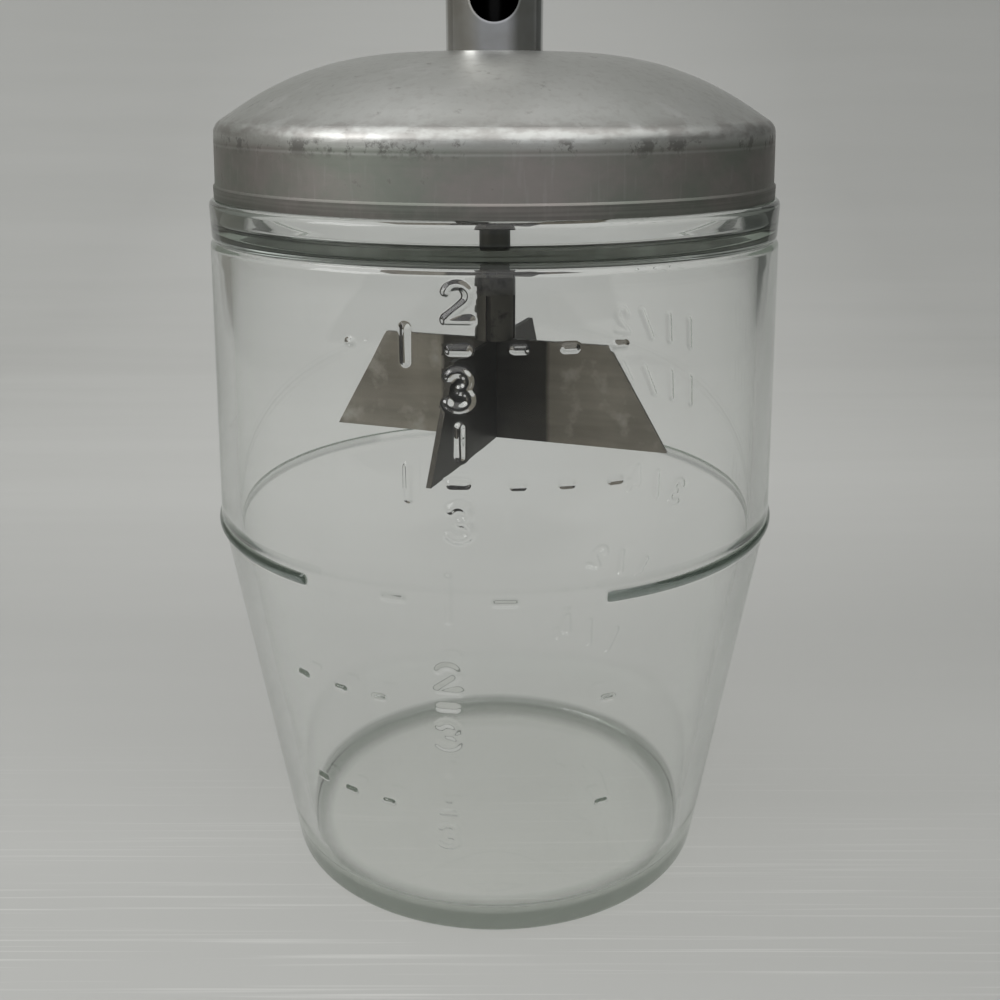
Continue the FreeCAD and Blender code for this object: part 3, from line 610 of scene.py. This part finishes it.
def makeSpring():
    coil = springCentreline()
    drawnLine("returnSpring", coil)
    bpy.ops.object.mode_set(mode="OBJECT")
    bpy.ops.object.convert(target="CURVE")
    curve = bpy.context.object.data
    curve.bevel_depth, curve.bevel_resolution, curve.use_fill_caps = spring["wire"] / 2 * mm, 3, True
    bpy.ops.object.convert(target="MESH")
    piece = bpy.context.object
    bpy.ops.object.mode_set(mode="EDIT")
    bpy.ops.mesh.select_all(action="SELECT")
    bpy.ops.mesh.remove_doubles(threshold=weld)
    bpy.ops.mesh.normals_make_consistent(inside=False)
    bpy.ops.object.mode_set(mode="OBJECT")
    bpy.ops.object.shade_smooth_by_angle(angle=math.radians(spring["smoothBelow"]))
    piece.data.materials.clear()
    finish = plainSteel("springSteel", colour(0.50, 0.50, 0.49), colour(0.34, 0.32, 0.29), 0.24)
    piece.data.materials.append(finish)
    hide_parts("return_spring")
    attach(piece, "lid")
    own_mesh(piece)
    print("spring:", len(piece.data.vertices), "vertices")


def dressNodes():
    steel = plainSteel("plainSteel", colour(0.42, 0.41, 0.39), colour(0.24, 0.21, 0.18))
    hub = plainSteel("hubSteel", colour(0.075, 0.07, 0.058), colour(0.012, 0.011, 0.009), 0.28, 0.003)
    finishes = {
        "lid_shell": spunAluminium(), "guide_tube": polishedSteel(hollow=True),
        "spring_cup": polishedSteel("platedSteel"), "plunger_rod": rodSteelAndShade(), "blade_hub": hub,
        # The cross blade is painted much darker all over: painted shade, as it faces away from the light
        "wide_blade": bladeSteel(), "cross_blade": bladeSteel("shadedBladeSteel", 0.9), "knob": turnedWood(),
    }
    brass = plainSteel("turnedBrass", colour(0.66, 0.48, 0.20), colour(0.42, 0.28, 0.12), 0.25)
    finishes |= dict.fromkeys(("lower_bushing", "upper_bushing", "knob_insert"), brass)
    for name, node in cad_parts.items():
        for slot in node.material_slots:
            slot.material = finishes.get(name, steel)
    print("nodes dressed:", len(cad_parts))


# Stage: millimetres, a floor that rises into a wall behind
stage = {"width": 2600, "front": -1400, "back": 620, "bend": 260, "height": 900, "gap": 0.02, "bendSteps": 16}


def makeStage():
    bend, foot = stage["bend"], stage["back"] - stage["bend"]
    profile = [(stage["front"], 0), (foot, 0)]
    profile += [(foot + bend * math.sin(turn), bend * (1 - math.cos(turn)))
                for turn in np.linspace(0, math.pi / 2, stage["bendSteps"] + 1)[1:]]
    profile.append((stage["back"], stage["height"]))
    left = -stage["width"] / 2
    sweep = drawnLine("paperSweep", [(left, away, up - stage["gap"]) for away, up in profile])
    bpy.ops.mesh.extrude_region_move(TRANSFORM_OT_translate={"value": (stage["width"] * mm, 0, 0)})
    bpy.ops.mesh.select_all(action="SELECT")
    bpy.ops.mesh.normals_make_consistent(inside=False)
    bpy.ops.object.mode_set(mode="OBJECT")
    bpy.ops.object.shade_smooth()
    sweep.data.materials.append(paleSweep())
    print("stage:", len(sweep.data.vertices), "vertices")


# Lamps: places in metres, power in watts; all look at one place above the table
lamps = {"overhead": {"place": (-0.12, -0.55, 1.05), "width": 3.0, "depth": 2.0, "power": 16.8},
         "leftFill": {"place": (-0.85, -0.45, 0.55), "width": 0.5, "depth": 0.5, "power": 2.3}}
lampsLookAt = (0, 0, 0.08)
# The room round the stage: how bright each side of it is, at eye level and above
# A pair is where one side starts giving way to the next and where it has, as parts of a direction of length 1
room = {
    "front": colour(0.34, 0.348, 0.365), "left": colour(0.225, 0.22, 0.20),
    "right": colour(0.10, 0.103, 0.098), "back": colour(0.46, 0.46, 0.45),
    "backdrop": colour(0.40, 0.402, 0.388), "above": colour(0.50, 0.50, 0.495),
    "below": colour(0.30, 0.30, 0.29),
    "leftToRight": (-0.3, 0.3), "frontToSides": (0.48, 0.86), "sidesToBack": (0.3, 0.9),
    "wallsToAbove": (0.15, 0.7), "belowToWalls": (-0.2, 0.0),
}


def makeLamps():
    for name, lamp in lamps.items():
        bpy.ops.object.light_add(type="AREA", location=lamp["place"])
        light = bpy.context.object
        light.name = name
        light.data.shape = "RECTANGLE"
        light.data.size, light.data.size_y = lamp["width"], lamp["depth"]
        light.data.energy = lamp["power"]
        aim = Vector(lampsLookAt) - Vector(lamp["place"])
        light.rotation_euler = aim.to_track_quat("-Z", "Y").to_euler()
    print("lamps:", len(lamps))


def makeRoom():
    world = bpy.data.worlds.new("room")
    bpy.context.scene.world = world
    world.use_nodes = True
    world.node_tree.nodes.clear()
    wire = Wire(world.node_tree)
    way = wire.node("TexCoord", {}, {}, "Generated")
    across, away, up = (along(way, axis) for axis in "XYZ")
    sides = across.clipped(*room["leftToRight"]).blended(room["left"], room["right"])
    walls = wire.math("ABSOLUTE", across).clipped(*room["frontToSides"]).blended(room["front"], sides)
    walls = away.clipped(*room["sidesToBack"]).blended(walls, room["back"])
    walls = up.clipped(*room["wallsToAbove"]).blended(walls, room["above"])
    walls = up.clipped(*room["belowToWalls"]).blended(room["below"], walls)
    direct = wire.math("MAXIMUM", lightPath(wire, "Is Camera Ray"), lightPath(wire, "Is Transmission Ray"))
    direct = direct * (1 - lightPath(wire, "Glossy Depth").clipped(0.4, 0.6))
    walls = direct.blended(walls, room["backdrop"])  # seen itself, and not in a mirror, the room is plain
    glow = wire.node("Background", {}, {"Color": walls, "Strength": 1.0})
    world.node_tree.nodes.new("ShaderNodeOutputWorld")
    world.node_tree.links.new(glow.socket, world.node_tree.nodes[-1].inputs["Surface"])


# Camera: fitted to the photograph, in metres and degrees, with the lens and frame in millimetres
view = {"place": (0.0008, -0.1873, 0.1226), "down": 18.92, "lens": 43.3, "frame": 36.0, "nearest": 0.01}


def makeCamera():
    bpy.ops.object.camera_add(location=view["place"], rotation=(math.radians(90 - view["down"]), 0, 0))
    camera = bpy.context.object
    camera.data.lens, camera.data.sensor_width = view["lens"], view["frame"]
    camera.data.clip_start = view["nearest"]
    bpy.context.scene.camera = camera


bpy.context.scene.view_settings.view_transform = "Standard"
makeCamera()
makeStage()
makeLamps()
makeRoom()
dressNodes()
makeJar()
makeSpring()

bpy.context.view_layer.update()
